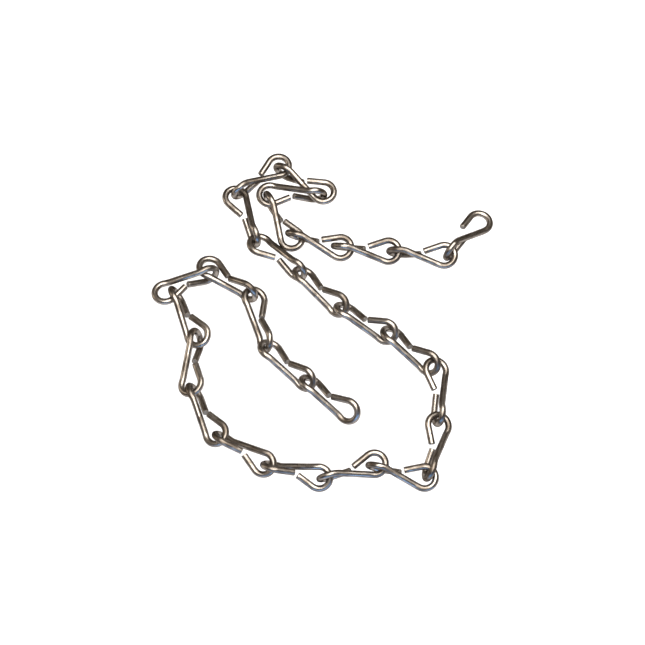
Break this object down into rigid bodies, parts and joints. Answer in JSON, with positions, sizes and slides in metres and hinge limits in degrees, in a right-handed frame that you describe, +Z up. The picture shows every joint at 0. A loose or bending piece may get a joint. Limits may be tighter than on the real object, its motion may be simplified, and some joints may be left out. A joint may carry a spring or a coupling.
{
  "type": "safety chain hook",
  "caption": "Length of single-jack wire chain lying loosely, with an open hook bent from the same wire at one end.",
  "frame": {"origin": "on the surface that the chain lies on, under the middle of its box", "axes": "+Z up from the surface, +X to the right and +Y away as the chain lies with its hook at the right"},
  "size_m": [0.1422, 0.1495, 0.012],
  "materials": {
    "wire_steel": "bare drawn wire, satin"
  },
  "bodies": {
    "hook": {"hook": "wire_steel"},
    "link_01": {"link_01": "wire_steel"},
    "link_02": {"link_02": "wire_steel"},
    "link_03": {"link_03": "wire_steel"},
    "link_04": {"link_04": "wire_steel"},
    "link_05": {"link_05": "wire_steel"},
    "link_06": {"link_06": "wire_steel"},
    "link_07": {"link_07": "wire_steel"},
    "link_08": {"link_08": "wire_steel"},
    "link_09": {"link_09": "wire_steel"},
    "link_10": {"link_10": "wire_steel"},
    "link_11": {"link_11": "wire_steel"},
    "link_12": {"link_12": "wire_steel"},
    "link_13": {"link_13": "wire_steel"},
    "link_14": {"link_14": "wire_steel"},
    "link_15": {"link_15": "wire_steel"},
    "link_16": {"link_16": "wire_steel"},
    "link_17": {"link_17": "wire_steel"},
    "link_18": {"link_18": "wire_steel"},
    "link_19": {"link_19": "wire_steel"},
    "link_20": {"link_20": "wire_steel"},
    "link_21": {"link_21": "wire_steel"},
    "link_22": {"link_22": "wire_steel"},
    "link_23": {"link_23": "wire_steel"},
    "link_24": {"link_24": "wire_steel"},
    "link_25": {"link_25": "wire_steel"},
    "link_26": {"link_26": "wire_steel"}
  },
  "joints": [
    {"name": "hook_swing", "type": "hinge", "parent": "link_01", "child": "hook", "pos_m": [0.05089, 0.02704, 0.00705], "axis": [-0.1227, -0.1462, -0.9816], "range_deg": [-60, 60]},
    {"name": "link_01_swing", "type": "hinge", "parent": "link_02", "child": "link_01", "pos_m": [0.02726, 0.02959, 0.00578], "axis": [-0.0694, -0.1673, 0.9835], "range_deg": [-50, 50]},
    {"name": "link_02_swing", "type": "hinge", "parent": "link_03", "child": "link_02", "pos_m": [0.00419, 0.03202, 0.0058], "axis": [0.0358, 0.3401, -0.9397], "range_deg": [-50, 45]},
    {"name": "link_03_swing", "type": "hinge", "parent": "link_04", "child": "link_03", "pos_m": [-0.01483, 0.03787, 0.0058], "axis": [-0.0757, -0.2475, 0.9659], "range_deg": [-18, 40]},
    {"name": "link_04_swing", "type": "hinge", "parent": "link_05", "child": "link_04", "pos_m": [-0.02418, 0.05544, 0.0058], "axis": [0, 0, -1], "range_deg": [-30, 0]},
    {"name": "link_05_swing", "type": "hinge", "parent": "link_06", "child": "link_05", "pos_m": [0.00022, 0.05544, 0.0058], "axis": [0, 0, 1], "range_deg": [0, 45]},
    {"name": "link_06_swing", "type": "hinge", "parent": "link_07", "child": "link_06", "pos_m": [-0.01998, 0.06826, 0.0058], "axis": [0, 0, -1], "range_deg": [-40, 0]},
    {"name": "link_07_swing", "type": "hinge", "parent": "link_08", "child": "link_07", "pos_m": [-0.03761, 0.05544, 0.0058], "axis": [0, 0, 1], "range_deg": [0, 40]},
    {"name": "link_08_swing", "type": "hinge", "parent": "link_09", "child": "link_08", "pos_m": [-0.02761, 0.03319, 0.0058], "axis": [-0.1586, -0.0706, -0.9848], "range_deg": [-40, 0]},
    {"name": "link_09_swing", "type": "hinge", "parent": "link_10", "child": "link_09", "pos_m": [-0.00818, 0.01875, 0.0058], "axis": [0.2058, 0.2731, 0.9397], "range_deg": [-40, 20]},
    {"name": "link_10_swing", "type": "hinge", "parent": "link_11", "child": "link_10", "pos_m": [0.00885, 0.0027, 0.0058], "axis": [-0.4384, -0.4701, -0.766], "range_deg": [-15, 45]},
    {"name": "link_11_swing", "type": "hinge", "parent": "link_12", "child": "link_11", "pos_m": [0.02913, -0.00862, 0.0058], "axis": [0.3536, 0.6124, 0.7071], "range_deg": [-45, 8]},
    {"name": "link_12_swing", "type": "hinge", "parent": "link_13", "child": "link_12", "pos_m": [0.04585, -0.02293, 0.0058], "axis": [-0.4132, -0.4924, -0.766], "range_deg": [-30, 6]},
    {"name": "link_14_swing", "type": "hinge", "parent": "link_13", "child": "link_14", "pos_m": [0.0464, -0.04614, 0.0058], "axis": [-0.3418, -0.0119, -0.9397], "range_deg": [-45, 3]},
    {"name": "link_15_swing", "type": "hinge", "parent": "link_14", "child": "link_15", "pos_m": [0.04137, -0.0694, 0.0058], "axis": [0.3345, -0.0711, 0.9397], "range_deg": [-3, 26]},
    {"name": "link_16_swing", "type": "hinge", "parent": "link_15", "child": "link_16", "pos_m": [0.01791, -0.06389, 0.0058], "axis": [0.0391, 0.1692, -0.9848], "range_deg": [-45, 3]},
    {"name": "link_17_swing", "type": "hinge", "parent": "link_16", "child": "link_17", "pos_m": [-0.00169, -0.06956, 0.0058], "axis": [0.0479, -0.1669, 0.9848], "range_deg": [-4, 45]},
    {"name": "link_18_swing", "type": "hinge", "parent": "link_17", "child": "link_18", "pos_m": [-0.02414, -0.06358, 0.0058], "axis": [0.121, 0.4851, -0.866], "range_deg": [-45, 4]},
    {"name": "link_19_swing", "type": "hinge", "parent": "link_18", "child": "link_19", "pos_m": [-0.04347, -0.05074, 0.0058], "axis": [-0.2723, -0.4193, 0.866], "range_deg": [-11, 45]},
    {"name": "link_20_swing", "type": "hinge", "parent": "link_19", "child": "link_20", "pos_m": [-0.05414, -0.03012, 0.0058], "axis": [0.3731, 0.1984, -0.9063], "range_deg": [-30, 22]},
    {"name": "link_21_swing", "type": "hinge", "parent": "link_20", "child": "link_21", "pos_m": [-0.0522, -0.00638, 0.0058], "axis": [-0.4216, 0.0295, 0.9063], "range_deg": [-20, 18]},
    {"name": "link_22_swing", "type": "hinge", "parent": "link_21", "child": "link_22", "pos_m": [-0.06241, 0.01243, 0.0058], "axis": [0.302, 0.1606, -0.9397], "range_deg": [-14, 20]},
    {"name": "link_23_swing", "type": "hinge", "parent": "link_22", "child": "link_23", "pos_m": [-0.04461, 0.02063, 0.0058], "axis": [-0.0734, 0.1574, 0.9848], "range_deg": [-20, 5]},
    {"name": "link_24_swing", "type": "hinge", "parent": "link_23", "child": "link_24", "pos_m": [-0.0284, 0.00907, 0.0058], "axis": [-0.1485, -0.212, -0.9659], "range_deg": [-20, 30]},
    {"name": "link_25_swing", "type": "hinge", "parent": "link_24", "child": "link_25", "pos_m": [-0.02298, -0.01413, 0.0058], "axis": [0.4101, 0.1022, 0.9063], "range_deg": [-50, 32]},
    {"name": "link_26_swing", "type": "hinge", "parent": "link_25", "child": "link_26", "pos_m": [-0.00466, -0.02988, 0.0058], "axis": [-0.3838, -0.4263, -0.8192], "range_deg": [-60, 60]}
  ]
}
